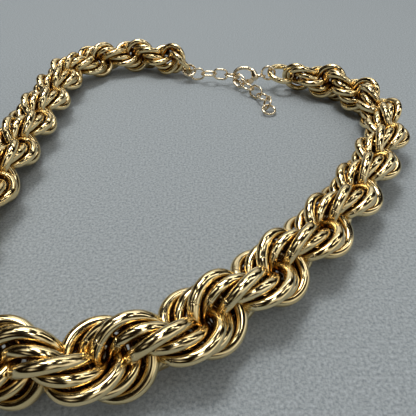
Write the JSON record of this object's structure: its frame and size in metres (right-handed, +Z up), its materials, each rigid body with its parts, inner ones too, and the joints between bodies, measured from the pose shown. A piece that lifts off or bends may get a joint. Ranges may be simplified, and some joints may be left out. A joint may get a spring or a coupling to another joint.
{
  "type": "twisted rope necklace",
  "caption": "Chunky graduated twisted rope chain necklace in polished gold tone, lying closed, with a lobster clasp and a short extender chain with a free tail.",
  "frame": {"origin": "the middle of the necklace's outline on the table it lies on", "axes": "+Z up from the table, +Y from the necklace's front to its clasp, +X to the right as the picture shows it"},
  "size_m": [0.1384, 0.168, 0.0166],
  "materials": {
    "rope_gold": "polished yellow gold plating",
    "fittings_gold": "polished pale gold plating"
  },
  "bodies": {
    "necklace": {"rope_right": "rope_gold", "rope_left": "rope_gold", "jump_right": "fittings_gold", "jump_left": "fittings_gold", "extender_1": "fittings_gold", "extender_2": "fittings_gold", "extender_3": "fittings_gold", "extender_4": "fittings_gold", "tail_1": "fittings_gold", "tail_2": "fittings_gold", "tail_3": "fittings_gold", "tail_4": "fittings_gold", "tail_5": "fittings_gold", "tail_ring": "fittings_gold", "clasp_body": "fittings_gold", "clasp_pin": "fittings_gold"},
    "lever": {"clasp_lever": "fittings_gold"}
  },
  "joints": [
    {"name": "clasp_lever_hinge", "type": "hinge", "parent": "necklace", "child": "lever", "pos_m": [0.02009, 0.05829, 0.00494], "axis": [0.2852, 0.861, -0.421], "range_deg": [0, 25], "stiffness_Nm_per_rad": 0.0005, "springref_deg": -20.05}
  ]
}
